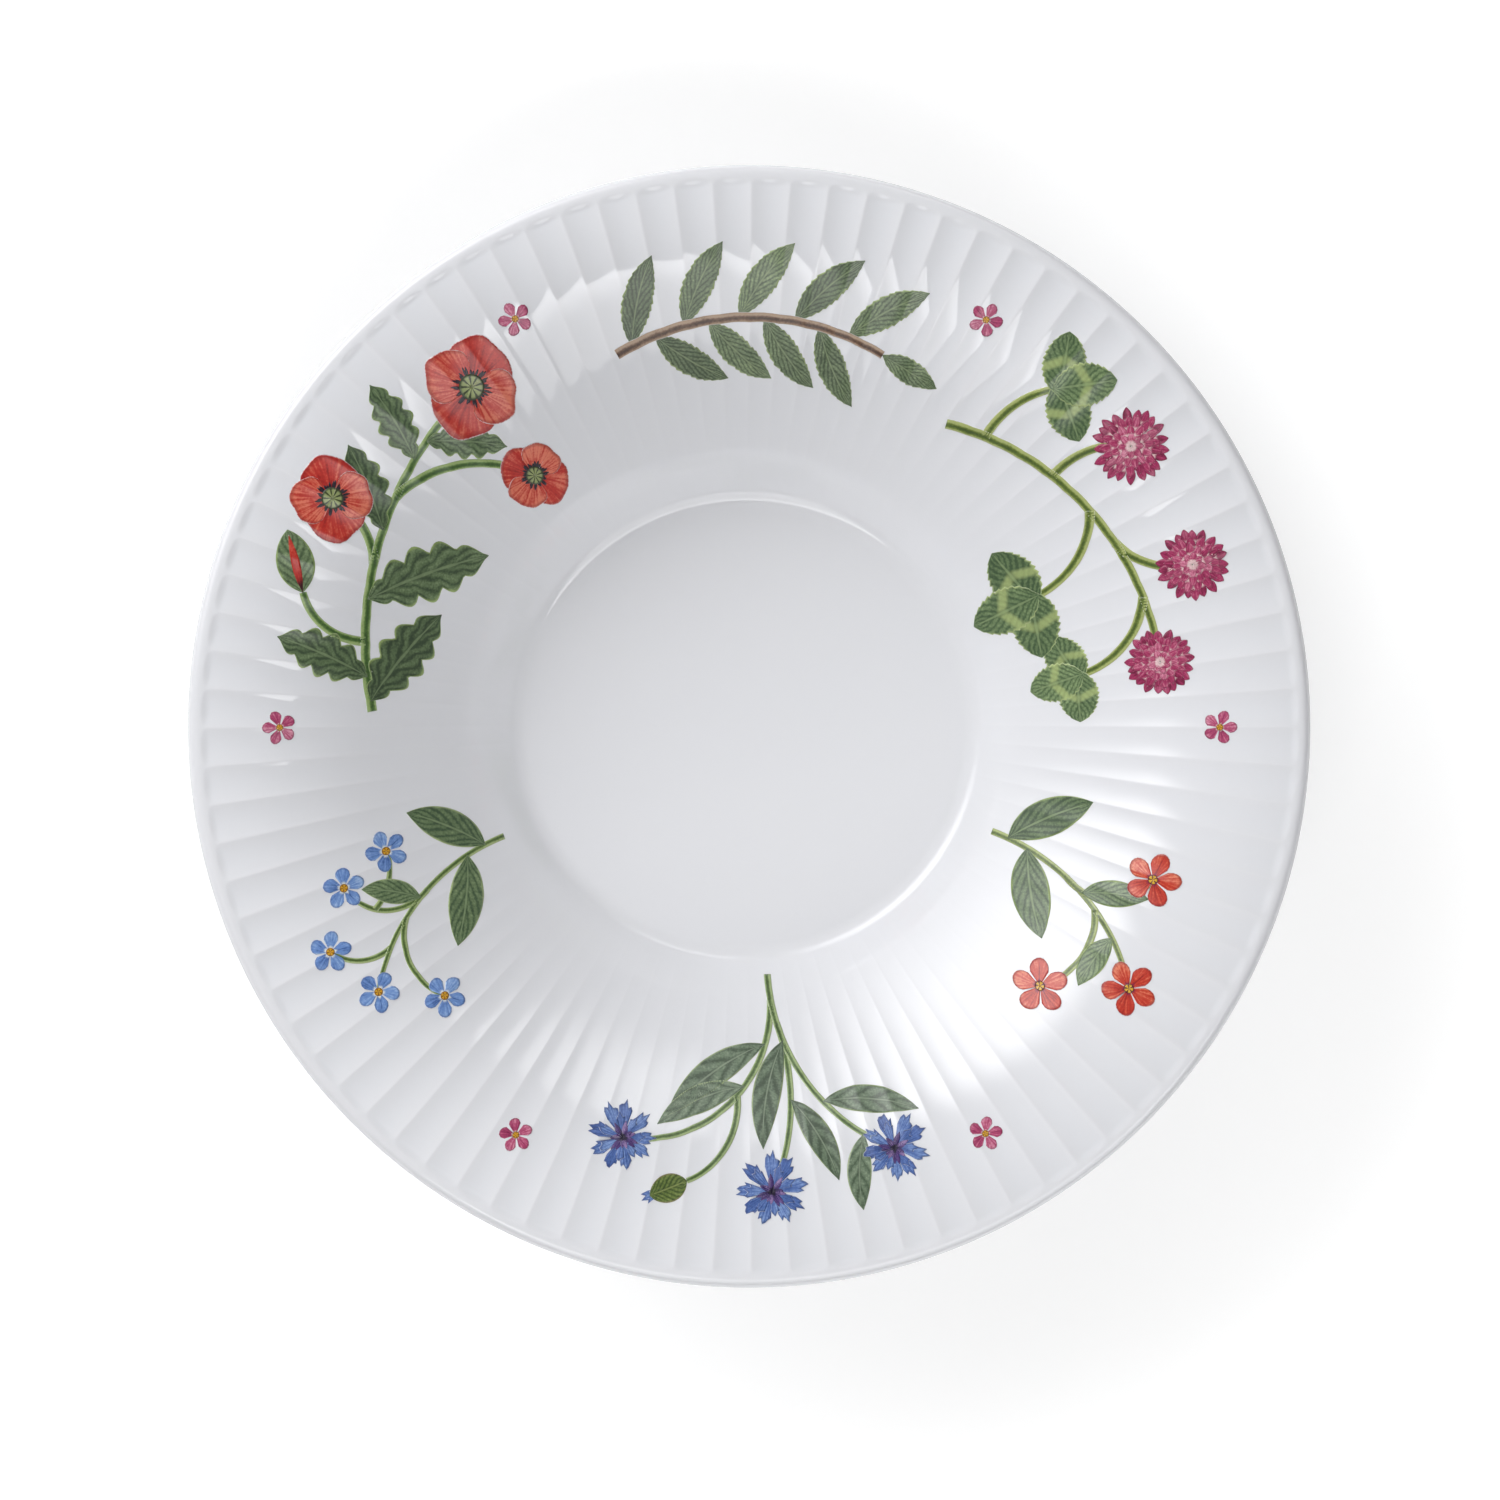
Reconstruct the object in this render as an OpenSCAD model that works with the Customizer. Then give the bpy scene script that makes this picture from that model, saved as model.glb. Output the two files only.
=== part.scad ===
// Soup plate of white porcelain with a fluted wall and flower transfers fired onto it.
// Millimetres, +Z up. The origin is the centre of the circle that the foot ring stands on.

/* [Plate] */
// Outer diameter over the lip
plate_d = 210; // [200:1:220]
// Thickness of the well, the wall and the lip
wall_t = 3.8; // [3.2:0.1:4.4]
// Radius of the flat of the well
well_r = 41.5; // [39:0.5:43]
// Radius of the inside curve between the well and the wall
hollow_r = 7; // [6:0.5:9]
// Slope of the straight wall, in degrees
wall_slope = 40; // [38:1:42]
// Radius of the curve that turns the wall out into the rim
flare_r = 49.5; // [47:0.5:52]

/* [Foot ring] */
// Diameter over the foot ring
foot_d = 88; // [84:1:92]
// Width of the foot ring
foot_w = 4; // [3:0.5:5]
// Height of the foot ring under the well
foot_h = 3.5; // [2.5:0.5:5]
// Rounding of the standing edge
foot_round = 1; // [0.6:0.1:1.3]

/* [Flutes] */
// Number of flutes round the wall
flute_count = 88; // [84:1:92]
// Radius of the hollow across a flute
flute_r = 16; // [15:0.5:18]
// Share of the pitch that a flute takes up at least, the rest being the ridge beside it
flute_share = 0.9; // [0.86:0.01:0.92]
// How far up the straight wall the flutes start
flute_start = 1.5; // [1:0.5:4]
// Distance from the edge of the plate to where a flute starts to run out
flute_tip = 5.4; // [5:0.1:7]

/* [Transfers] */
// Thickness of the fired colour
ink_t = 0.12; // [0.1:0.01:0.2]
// Width of the painted stems
stem_w = 1.8; // [1.4:0.1:2.2]
// Distance from the edge of the plate to the middle of the sprays
spray_inset = 29; // [28:0.5:31]
// Azimuth of the first spray, in degrees. The others follow at even steps.
first_spray_a = 30; // [0:1:59]

/* [Hidden] */
$fn = 96;
porcelain = "#f1f2f4";
poppy_red = "#c23a34";
cornflower_blue = "#5a6fa8";
clover_pink = "#b4476f";
twig_brown = "#8a6a4c";

// The wall is a band of even thickness. These are points on its middle line, as radius and height.
half_t = wall_t / 2;
well_z = foot_h + half_t;
hollow_mid_r = hollow_r + half_t;
flare_mid_r = flare_r - half_t;
lip_r = plate_d / 2 - half_t;
along = [cos(wall_slope), sin(wall_slope)];
outward = [-sin(wall_slope), cos(wall_slope)];
hollow_c = [well_r, well_z + hollow_mid_r];
wall_foot = hollow_c - hollow_mid_r * outward;
wall_top_r = lip_r - flare_mid_r * sin(wall_slope);
wall_len = (wall_top_r - wall_foot[0]) / cos(wall_slope);
wall_top = wall_foot + wall_len * along;
flare_c = wall_top - flare_mid_r * outward;
lip_c = [lip_r, flare_c[1] + flare_mid_r];
plate_h = lip_c[1] + half_t;

// Where two lengths of the section meet, they lap, and the curved one is thinner by this step on
// each side, so that no edge lies along another.
joint_lap = 0.2;
joint_step = 0.005;

// A ball of flute_r runs up the wall, round the flare and out near the lip. Each flute is its track, in
// three lengths. The bend lies above the straight by bend_step and the tip lies below the bend by
// tip_step, so that one length crosses the next at an angle and no end of a length shows.
pitch = 360 / flute_count;
bend_step = 0.03;
tip_step = 0.015;
straight_overrun = 3.5;
cutting_rounds = floor(flute_count / 11);
function flute_depth(r, lean) = pow(flute_share * r * sin(pitch / 2), 2) / 2 * (1 / flute_r - sin(lean) / r);
start_on_wall = wall_foot + flute_start * along + half_t * outward;
end_on_wall = wall_top + half_t * outward;
track_a = start_on_wall + (flute_r - flute_depth(start_on_wall[0], wall_slope)) * outward;
track_b = end_on_wall + (flute_r - flute_depth(end_on_wall[0], wall_slope)) * outward;
tip_r = plate_d / 2 - flute_tip;
tip_lean = asin((lip_r - tip_r) / flare_r);
track_c = flare_c + (flare_r + flute_r - flute_depth(tip_r, tip_lean)) * [-sin(tip_lean), cos(tip_lean)];
run = (track_b - track_a) / norm(track_b - track_a);
run_slope = atan2(run[1], run[0]);
run_side = [run[1], -run[0]];
bend_start = track_b - bend_step * run_side;
chord = track_c - bend_start;
bend_r = (chord * chord) / (2 * (run_side * chord));
bend_c = bend_start + bend_r * run_side;
bend_from = atan2(track_c[1] - bend_c[1], track_c[0] - bend_c[0]);
bend_to = atan2(bend_start[1] - bend_c[1], bend_start[0] - bend_c[0]);

// Six sprays stand round the wall, with a loose blossom between each two.
spray_count = 6;
spray_r = plate_d / 2 - spray_inset;
function spray_a(k) = first_spray_a + k * 360 / spray_count;

// A piece of a ring in the plane, from angle a0 to angle a1.
module ring_piece(centre, r_in, r_out, a0, a1) {
    reach = 2 * r_out;
    translate(centre)
        intersection() {
            difference() {
                circle(r = r_out);
                circle(r = r_in);
            }
            polygon([[0, 0], reach * [cos(a0), sin(a0)], reach * [cos(a1), sin(a1)]]);
        }
}

// The straight wall and the flare, from below to above the middle line.
module wall_section(below, above) {
    lap_a = joint_lap / flare_mid_r * 180 / PI;
    translate(wall_foot)
        rotate(wall_slope)
            translate([-joint_lap, -below])
                square([wall_len + joint_lap, below + above]);
    ring_piece(flare_c, flare_mid_r - below + joint_step, flare_mid_r + above - joint_step,
        90, 90 + wall_slope + lap_a);
}

module well_section() {
    lap_a = joint_lap / hollow_mid_r * 180 / PI;
    translate([0, foot_h])
        square([well_r, wall_t]);
    ring_piece(hollow_c, hollow_r + joint_step, hollow_r + wall_t - joint_step,
        -90 - lap_a, wall_slope - 90);
}

module lip_section() {
    translate(lip_c)
        circle(r = half_t);
}

module foot_section() {
    outer = foot_d / 2;
    inner = outer - foot_w;
    polygon(concat(
        [[inner, well_z]],
        [for (a = [180 : 30 : 270]) [inner + foot_round, foot_round] + foot_round * [cos(a), sin(a)]],
        [for (a = [270 : 30 : 360]) [outer - foot_round, foot_round] + foot_round * [cos(a), sin(a)]],
        [[outer, well_z]]
    ));
}

// One flute, lying over the X axis, kept inside its own slice of the plate.
module flute(grow) {
    ball_r = flute_r - grow;
    reach = plate_d;
    slice = reach * tan(0.497 * pitch);
    intersection() {
        union() {
            translate([track_a[0], 0, track_a[1]])
                rotate([0, 90 - run_slope, 0])
                    cylinder(r = ball_r, h = norm(track_b - track_a) + straight_overrun);
            translate([bend_c[0], 0, bend_c[1]])
                rotate([90, 0, 0])
                    rotate_extrude(angle = bend_to - bend_from, start = bend_from)
                        translate([bend_r, 0])
                            circle(r = ball_r);
            translate([bend_c[0], 0, bend_c[1]])
                rotate([0, -bend_from, 0])
                    translate([bend_r - tip_step, 0, 0])
                        sphere(r = ball_r);
        }
        linear_extrude(2 * plate_h)
            polygon([[0, 0], [reach, -slice], [reach, slice]]);
    }
}

module flutes(first, last, grow) {
    for (i = [first : last])
        rotate((i + 0.5) * pitch)
            flute(grow);
}

// The flutes are cut in rounds. Each round takes flutes that stand well apart, so neighbours never meet.
module fluted(rounds) {
    if (rounds < 1)
        children();
    else
        difference() {
            fluted(rounds - 1)
                children();
            for (i = [rounds - 1 : cutting_rounds : flute_count - 1])
                rotate((i + 0.5) * pitch)
                    flute(0);
        }
}

module porcelain_body() {
    color(porcelain)
        fluted(cutting_rounds)
            rotate_extrude() {
                well_section();
                wall_section(half_t, half_t);
                lip_section();
                foot_section();
            }
}

// The upper side of the wall over some of the flutes, raised by grow.
module wall_piece(first, last, below, grow) {
    difference() {
        rotate_extrude(angle = (last - first + 1) * pitch, start = first * pitch)
            wall_section(below, half_t + grow);
        flutes(first, last, grow);
    }
}

// A transfer: its outline, drawn from above, as a thin coat of colour that follows the flutes.
module transfer(azimuth, spread) {
    first = floor((azimuth - spread) / pitch);
    last = floor((azimuth + spread) / pitch);
    difference() {
        intersection() {
            wall_piece(first, last, 0, ink_t);
            linear_extrude(2 * plate_h)
                rotate(azimuth - 90)
                    translate([0, spray_r])
                        children();
        }
        wall_piece(first - 1, last + 1, half_t / 2, 0);
    }
}

// Outlines. In each drawing, Y points to the lip and X runs clockwise round the plate.
// A stem is [from, to, bow]: an arc that stands off its chord by bow, to the left of its run.
function bow_r(stem) = (pow(norm(stem[1] - stem[0]), 2) / 4 + pow(stem[2], 2)) / (2 * abs(stem[2]));
function run_angle(stem) = atan2(stem[1][1] - stem[0][1], stem[1][0] - stem[0][0]);
function swing(stem, t) = (2 * t - 1) * asin(norm(stem[1] - stem[0]) / 2 / bow_r(stem));
function turned(v, a) = [v[0] * cos(a) - v[1] * sin(a), v[0] * sin(a) + v[1] * cos(a)];

// The point at a share t of the way along a stem, and the heading there.
function point_on(stem, t) =
    let (r = bow_r(stem), a = swing(stem, t))
        stem[0] + turned([norm(stem[1] - stem[0]) / 2 + r * sin(a),
            sign(stem[2]) * (r * cos(a) - r + abs(stem[2]))], run_angle(stem));
function heading_on(stem, t) = run_angle(stem) - sign(stem[2]) * swing(stem, t);

module draw_stem(stem) {
    span = norm(stem[1] - stem[0]);
    bow = abs(stem[2]);
    arc_r = bow_r(stem);
    translate(stem[0])
        rotate(run_angle(stem))
            mirror([0, stem[2] < 0 ? 1 : 0])
                intersection() {
                    translate([span / 2, bow - arc_r])
                        difference() {
                            circle(r = arc_r + stem_w / 2);
                            circle(r = arc_r - stem_w / 2);
                        }
                    translate([0, -stem_w])
                        square([span, bow + 2 * stem_w]);
                }
}

module leaf(length, width) {
    side_r = (length * length + width * width) / (4 * width);
    intersection() {
        translate([length / 2, side_r - width / 2])
            circle(r = side_r);
        translate([length / 2, width / 2 - side_r])
            circle(r = side_r);
    }
}

module leaf_on(stem, t, lean, length, width) {
    translate(point_on(stem, t))
        rotate(heading_on(stem, t) + lean)
            leaf(length, width);
}

// Three leaflets whose bases lap at the end of a stem.
module trefoil_on(stem, length, width) {
    base_lap = 0.12 * length;
    for (lean = [-74, 3, 77])
        translate(stem[1])
            rotate(heading_on(stem, 1) + lean)
                translate([-base_lap, 0])
                    leaf(length, width);
}

module flower_on(stem, d) {
    translate(stem[1])
        circle(d = d);
}

module blossom(d) {
    petal_d = 0.42 * d;
    circle(d = 0.5 * d);
    for (i = [0 : 4])
        rotate(72 * i + 18)
            translate([(d - petal_d) / 2, 0])
                circle(d = petal_d);
}

module poppy_spray() {
    main = [[-33, -13], [29, 1], 8];
    upper = [point_on(main, 0.42), [-2, 13], -2];
    lower = [point_on(main, 0.62), [21, -17], 4];
    bud = [point_on(main, 0.2), [-20, 9], 2.5];
    color(poppy_red)
        transfer(spray_a(2), 28) {
            for (stem = [main, upper, lower, bud])
                draw_stem(stem);
            flower_on(main, 20);
            flower_on(upper, 17);
            flower_on(lower, 14);
            leaf_on(bud, 1, 0, 12, 7);
            leaf_on(main, 0.03, -48, 21, 9.5);
            leaf_on(main, 0.1, 60, 18, 8.5);
            leaf_on(main, 0.32, -62, 24, 10.5);
            leaf_on(main, 0.52, 40, 17, 7.5);
            leaf_on(main, 0.74, 62, 16, 7);
            leaf_on(main, 0.8, -58, 15, 6.5);
        }
}

module cornflower_spray() {
    left = [[-4, -28], [-27, 3], -6];
    middle = [point_on(left, 0.22), [-4, 11], 3];
    right = [point_on(left, 0.1), [24, 1], 9];
    bud = [point_on(right, 0.45), [12, 9], 3];
    color(cornflower_blue)
        transfer(spray_a(4), 25) {
            for (stem = [left, middle, right, bud])
                draw_stem(stem);
            flower_on(left, 15);
            flower_on(middle, 16);
            flower_on(right, 15);
            leaf_on(bud, 1, 0, 9, 6);
            leaf_on(left, 0.3, -35, 20, 5.4);
            leaf_on(left, 0.62, 42, 18, 5);
            leaf_on(left, 0.85, -62, 14, 4.6);
            leaf_on(middle, 0.45, 32, 17, 5);
            leaf_on(right, 0.2, -38, 23, 5.6);
            leaf_on(right, 0.4, -30, 18, 5);
        }
}

module clover_spray() {
    main = [[-31, -15], [28, -3], 9];
    first = [point_on(main, 0.35), [-10, 12], 2];
    second = [point_on(main, 0.62), [15, 11], -2];
    high = [point_on(main, 0.12), [-26, 6], 2];
    low = [point_on(main, 0.5), [6, -17], 3];
    side = [point_on(main, 0.8), [23, -17], 3];
    color(clover_pink)
        transfer(spray_a(0), 28) {
            for (stem = [main, first, second, high, low, side])
                draw_stem(stem);
            flower_on(main, 13);
            flower_on(first, 15);
            flower_on(second, 14);
            trefoil_on(high, 12, 8.5);
            trefoil_on(low, 13, 9);
            trefoil_on(side, 10, 7.5);
        }
}

module willow_twig() {
    twig = [[-25, -6], [25, -6], 7];
    color(twig_brown)
        transfer(spray_a(1), 25) {
            draw_stem(twig);
            for (i = [0 : 4])
                leaf_on(twig, 0.06 + 0.2 * i, 50, 17, 6);
            for (i = [0 : 3])
                leaf_on(twig, 0.15 + 0.2 * i, -50, 16, 5.6);
            leaf_on(twig, 1, 0, 12, 4.6);
        }
}

module forget_me_not_sprig() {
    main = [[5, -25], [-8, 9], -5];
    right = [point_on(main, 0.45), [12, 5], 4];
    left = [point_on(main, 0.62), [-15, -1], -3];
    top = [point_on(main, 0.78), [3, 13], 2];
    side = [point_on(right, 0.6), [14, -5], -1.5];
    color(cornflower_blue)
        transfer(spray_a(3), 18) {
            for (stem = [main, right, left, top, side])
                draw_stem(stem);
            for (stem = [main, right, left, top, side])
                translate(stem[1])
                    blossom(8);
            leaf_on(main, 0.1, -50, 16, 6.5);
            leaf_on(main, 0.2, 52, 17, 6.5);
            leaf_on(main, 0.5, -60, 11, 4.6);
        }
}

module pimpernel_sprig() {
    main = [[-6, -25], [7, 10], 5];
    left = [point_on(main, 0.4), [-13, 4], -4];
    right = [point_on(main, 0.6), [15, -4], 3];
    color(poppy_red)
        transfer(spray_a(5), 18) {
            for (stem = [main, left, right])
                draw_stem(stem);
            for (stem = [main, left, right])
                translate(stem[1])
                    blossom(10.5);
            leaf_on(main, 0.08, 50, 17, 7);
            leaf_on(main, 0.18, -52, 17, 7);
            leaf_on(main, 0.5, 46, 12, 5);
            leaf_on(main, 0.75, -60, 11, 4.6);
        }
}

module loose_blossoms() {
    color(clover_pink)
        for (k = [0 : spray_count - 1])
            transfer(spray_a(k - 0.5), 4)
                translate([0, 12])
                    blossom(6.5);
}

porcelain_body();
poppy_spray();
cornflower_spray();
clover_spray();
willow_twig();
forget_me_not_sprig();
pimpernel_sprig();
loose_blossoms();
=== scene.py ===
"""Soup plate of white porcelain with a fluted wall and flower transfers fired onto it."""
import math

import bpy
import numpy as np
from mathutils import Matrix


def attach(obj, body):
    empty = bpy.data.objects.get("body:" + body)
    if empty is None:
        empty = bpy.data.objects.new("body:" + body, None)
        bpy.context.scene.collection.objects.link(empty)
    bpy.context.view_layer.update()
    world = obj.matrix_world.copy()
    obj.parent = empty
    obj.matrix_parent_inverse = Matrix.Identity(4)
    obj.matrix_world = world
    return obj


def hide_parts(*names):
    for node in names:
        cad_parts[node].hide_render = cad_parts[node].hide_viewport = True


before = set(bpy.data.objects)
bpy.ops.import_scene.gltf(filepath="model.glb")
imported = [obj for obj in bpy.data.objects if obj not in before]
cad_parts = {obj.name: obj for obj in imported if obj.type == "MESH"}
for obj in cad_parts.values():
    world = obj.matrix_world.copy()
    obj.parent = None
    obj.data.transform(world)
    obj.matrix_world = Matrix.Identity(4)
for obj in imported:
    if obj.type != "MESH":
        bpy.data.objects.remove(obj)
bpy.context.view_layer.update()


# Porcelain body
# The plate itself: well, wall, flared rim, round lip and foot ring, pressed from white clay in one
# mould. It is dipped in clear glaze and fired hard, and only the edge it stands on is wiped bare.

MM = 0.001
PLATE_R = 105.0
WALL_T = 3.8
WELL_R = 42.3
HOLLOW_R = 5.0
WALL_SLOPE = math.radians(40.0)
WALL_TOP_LEAN = math.radians(36.0)
FLARE_R = 49.5
FOOT_R = 44.0
FOOT_W = 4.0
FOOT_H = 3.5
FOOT_ROUND = 1.0
FOOT_FILLET = 0.8

well_z = FOOT_H + WALL_T
lip_t = WALL_T / 2
lip_r = PLATE_R - lip_t
hollow_z = well_z + HOLLOW_R

# The height is that of a straight wall between the hollow and the flare.
both_r = HOLLOW_R + FLARE_R
wall_run = lip_r - WELL_R - both_r * math.sin(WALL_SLOPE)
flare_z = hollow_z - both_r * math.cos(WALL_SLOPE) + wall_run * math.tan(WALL_SLOPE)
lip_z = flare_z + FLARE_R - lip_t

# The wall bulges a little: one long arc that runs smoothly into the hollow below and the flare above.
gap = (WELL_R - lip_r, hollow_z - flare_z)
gap_along = -gap[0] * math.sin(WALL_TOP_LEAN) + gap[1] * math.cos(WALL_TOP_LEAN)
wall_arc_r = FLARE_R + (both_r ** 2 - gap[0] ** 2 - gap[1] ** 2) / (2 * (gap_along - both_r))
wall_arc = (lip_r + (wall_arc_r - FLARE_R) * math.sin(WALL_TOP_LEAN),
            flare_z - (wall_arc_r - FLARE_R) * math.cos(WALL_TOP_LEAN))
wall_foot_lean = math.atan2(wall_arc[0] - WELL_R, hollow_z - wall_arc[1])
wall_from = WELL_R + HOLLOW_R * math.sin(wall_foot_lean)
wall_to = lip_r - FLARE_R * math.sin(WALL_TOP_LEAN)


def eased(value, low, high):
    """0 below low, 1 above high, and a smooth rise between them."""
    t = np.clip((value - low) / (high - low), 0.0, 1.0)
    return t * t * (3.0 - 2.0 * t)


def upper_face(r):
    """Height and slope of the upper face at radius r, before the flutes are pressed in."""
    in_hollow = np.clip((r - WELL_R) / HOLLOW_R, 0.0, math.sin(wall_foot_lean))
    in_wall = np.clip((wall_arc[0] - r) / wall_arc_r, 0.0, 1.0)
    in_flare = np.clip((lip_r - r) / FLARE_R, 0.0, 1.0)
    on_wall = np.logical_and(r > wall_from, r <= wall_to)
    z = hollow_z - HOLLOW_R * np.sqrt(1.0 - in_hollow ** 2)
    z = np.where(on_wall, wall_arc[1] + wall_arc_r * np.sqrt(1.0 - in_wall ** 2), z)
    z = np.where(r > wall_to, flare_z + FLARE_R * np.sqrt(1.0 - in_flare ** 2), z)
    slope = np.where(on_wall, np.arcsin(in_wall), np.arcsin(in_hollow))
    slope = np.where(r > wall_to, np.arcsin(in_flare), slope)
    return z, slope


# The flutes start faint at the foot of the wall, reach their depth on the flare and run out at the lip.
FLUTES = 88
FLUTE_DEPTH = 0.40
FLUTE_DEPTH_AT = 100.0
FLUTE_START = WELL_R + 1.5
FLUTE_FAINT = 0.25
FLUTE_FULL_FROM = 80.0
FLUTE_RUN_OUT = 101.0
FLUTE_BALL_R = 16.0
RIDGE_SHARE = 0.06
LEAST_DEPTH = 1e-9
pitch = 2 * math.pi / FLUTES


def flute_depth(r, angle):
    """How deep the flutes are pressed at a point: round hollows with narrow rounded ridges between them."""
    across = 2.0 * np.mod(angle / pitch, 1.0) - 1.0
    full = FLUTE_DEPTH * (r / FLUTE_DEPTH_AT) ** 2
    full = full * (FLUTE_FAINT + (1.0 - FLUTE_FAINT) * eased(r, wall_from, FLUTE_FULL_FROM))
    full = full * eased(r, FLUTE_START, wall_from) * (1.0 - eased(r, FLUTE_RUN_OUT, lip_r)) + LEAST_DEPTH
    run_out = np.maximum(r - FLUTE_RUN_OUT, 0.0) ** 2 / (2 * FLUTE_BALL_R)
    hollow = full * (1.0 - (1.0 + RIDGE_SHARE) * across ** 2) - run_out
    ridge = RIDGE_SHARE * full
    blend = np.clip(hollow + ridge, 0.0, None) ** 2 / (4.0 * ridge)
    return np.where(hollow > ridge, hollow, blend)


def on_plate(r, angle, lift):
    """A point of the fluted upper face, raised by lift along its slope."""
    z, slope = upper_face(r)
    out = lift - flute_depth(r, angle)
    ring = r - np.sin(slope) * out
    return np.stack([ring * np.cos(angle), ring * np.sin(angle), z + np.cos(slope) * out], axis=-1)


# Points crowd towards the ridges, where the flutes turn sharply.
FLUTE_STEPS = 16
CROWDING = 0.6
step = np.linspace(-1.0, 1.0, FLUTE_STEPS, endpoint=False)
crowded = CROWDING * np.sin(step * math.pi / 2) + (1.0 - CROWDING) * step
fluted_angles = ((np.arange(FLUTES)[:, None] + 0.5 + 0.5 * crowded[None, :]) * pitch).ravel()
well_angles = np.arange(2 * FLUTES) * pitch / 2
under_angles = np.arange(4 * FLUTES) * pitch / 4

plate_points = []
plate_rings = []


def add_ring(points):
    """Keeps one ring of the plate's points."""
    start = sum(len(ring) for ring in plate_points)
    plate_points.append(points)
    plate_rings.append((start, len(points)))


def turned(r, z, angles):
    """One ring of the part that is turned smooth."""
    return np.stack([r * np.cos(angles), r * np.sin(angles), np.full_like(angles, z)], axis=-1)


# From the centre of the well to the lip, over the flutes, with the rows closer where the section bends.
WELL_RINGS = (3.0, 10.0, 18.0, 26.0, 33.0, 39.0)
hollow_from = WELL_R - 0.9
foot_to = wall_from + 2.7
lip_from = FLUTE_RUN_OUT - 3.0
run_out_from = FLUTE_RUN_OUT - 0.5
add_ring(np.array([[0.0, 0.0, well_z]]))
for r in WELL_RINGS:
    add_ring(turned(r, well_z, well_angles))
fluted_rows = np.concatenate([
    np.linspace(hollow_from, wall_from, 13, endpoint=False),
    np.linspace(wall_from, foot_to, 5, endpoint=False),
    np.linspace(foot_to, wall_to, 10, endpoint=False),
    np.linspace(wall_to, lip_from, 14, endpoint=False),
    np.linspace(lip_from, run_out_from, 4, endpoint=False),
    np.linspace(run_out_from, lip_r, 10),
])
for r in fluted_rows:
    add_ring(on_plate(np.full_like(fluted_angles, r), fluted_angles, 0.0))
first_outside = len(plate_rings)


def bend(centre, radius, start, end, steps):
    """Points of the section along an arc, at angles from straight outward."""
    return [(centre[0] + radius * math.cos(a), centre[1] + radius * math.sin(a))
            for a in np.linspace(start, end, steps + 1)]


# Round the lip, down the outside of the wall, over the foot ring and into the recess under the well.
RECESS_RINGS = (36.0, 28.0, 18.0, 9.0, 3.0)
RECESS_SIDE_Z = 2.2
UP = math.pi / 2
DOWN = -math.pi / 2
foot_in = FOOT_R - FOOT_W
swell_r = HOLLOW_R + WALL_T
outside = bend((lip_r, lip_z), lip_t, UP, DOWN, 14)[1:]
outside += bend((lip_r, flare_z), FLARE_R - WALL_T, UP, UP + WALL_TOP_LEAN, 15)[1:]
outside += bend(wall_arc, wall_arc_r - WALL_T, UP + WALL_TOP_LEAN, UP + wall_foot_lean, 9)[1:]
joint_lean = math.asin((FOOT_R + FOOT_FILLET - WELL_R) / swell_r)
outside += bend((WELL_R, hollow_z), swell_r, DOWN + wall_foot_lean, DOWN + joint_lean, 6)[1:]
joint_from = outside[-1]
joint_mid = (FOOT_R, hollow_z - math.sqrt(swell_r ** 2 - (FOOT_R - WELL_R) ** 2))
joint_to = (FOOT_R, joint_mid[1] - FOOT_FILLET)
for t in np.linspace(0.0, 1.0, 6)[1:]:
    outside.append(tuple((1 - t) ** 2 * joint_from[k] + 2 * t * (1 - t) * joint_mid[k] + t * t * joint_to[k]
                         for k in (0, 1)))
outside.append((FOOT_R, 0.5 * (joint_to[1] + FOOT_ROUND)))
outside += bend((FOOT_R - FOOT_ROUND, FOOT_ROUND), FOOT_ROUND, 0.0, DOWN, 6)
outside.append((FOOT_R - FOOT_W / 2, 0.0))
outside += bend((foot_in + FOOT_ROUND, FOOT_ROUND), FOOT_ROUND, DOWN, -math.pi, 6)
outside.append((foot_in, RECESS_SIDE_Z))
for t in np.linspace(0.0, 1.0, 6):
    outside.append((foot_in - FOOT_FILLET * t * t, FOOT_H - FOOT_FILLET * (1 - t) ** 2))
for r in RECESS_RINGS:
    outside.append((r, FOOT_H))
for r, z in outside:
    add_ring(turned(r, z, under_angles))
add_ring(np.array([[0.0, 0.0, FOOT_H]]))


def ring_faces(first, second):
    """Faces between two rings of points, whose counts may differ by a whole factor."""
    (a, count_a), (b, count_b) = first, second
    if count_a == 1:
        return [(a, b + i, b + (i + 1) % count_b) for i in range(count_b)]
    if count_b == 1:
        return [(a + i, b, a + (i + 1) % count_a) for i in range(count_a)]
    if count_a == count_b:
        return [(a + i, b + i, b + (i + 1) % count_b, a + (i + 1) % count_a) for i in range(count_a)]
    faces = []
    few = min(count_a, count_b)
    many = max(count_a, count_b) // few
    for i in range(few):
        here, there = i, (i + 1) % few
        for j in range(many):
            fine = i * many + j
            finer = (fine + 1) % (few * many)
            near = here if j < many // 2 else there
            if count_a < count_b:
                faces.append((a + near, b + fine, b + finer))
            else:
                faces.append((a + fine, b + near, a + finer))
        middle = i * many + many // 2
        if count_a < count_b:
            faces.append((a + here, b + middle, a + there))
        else:
            faces.append((a + middle, b + here, b + there))
    return faces


BARE_BELOW = 0.3
plate_xyz = np.concatenate(plate_points)
plate_faces = []
plate_finish = []
for first, second in zip(plate_rings[:-1], plate_rings[1:]):
    band = ring_faces(first, second)
    wiped = max(plate_xyz[first[0], 2], plate_xyz[second[0], 2]) < BARE_BELOW
    plate_faces += band
    plate_finish += [1 if wiped else 0] * len(band)

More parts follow.
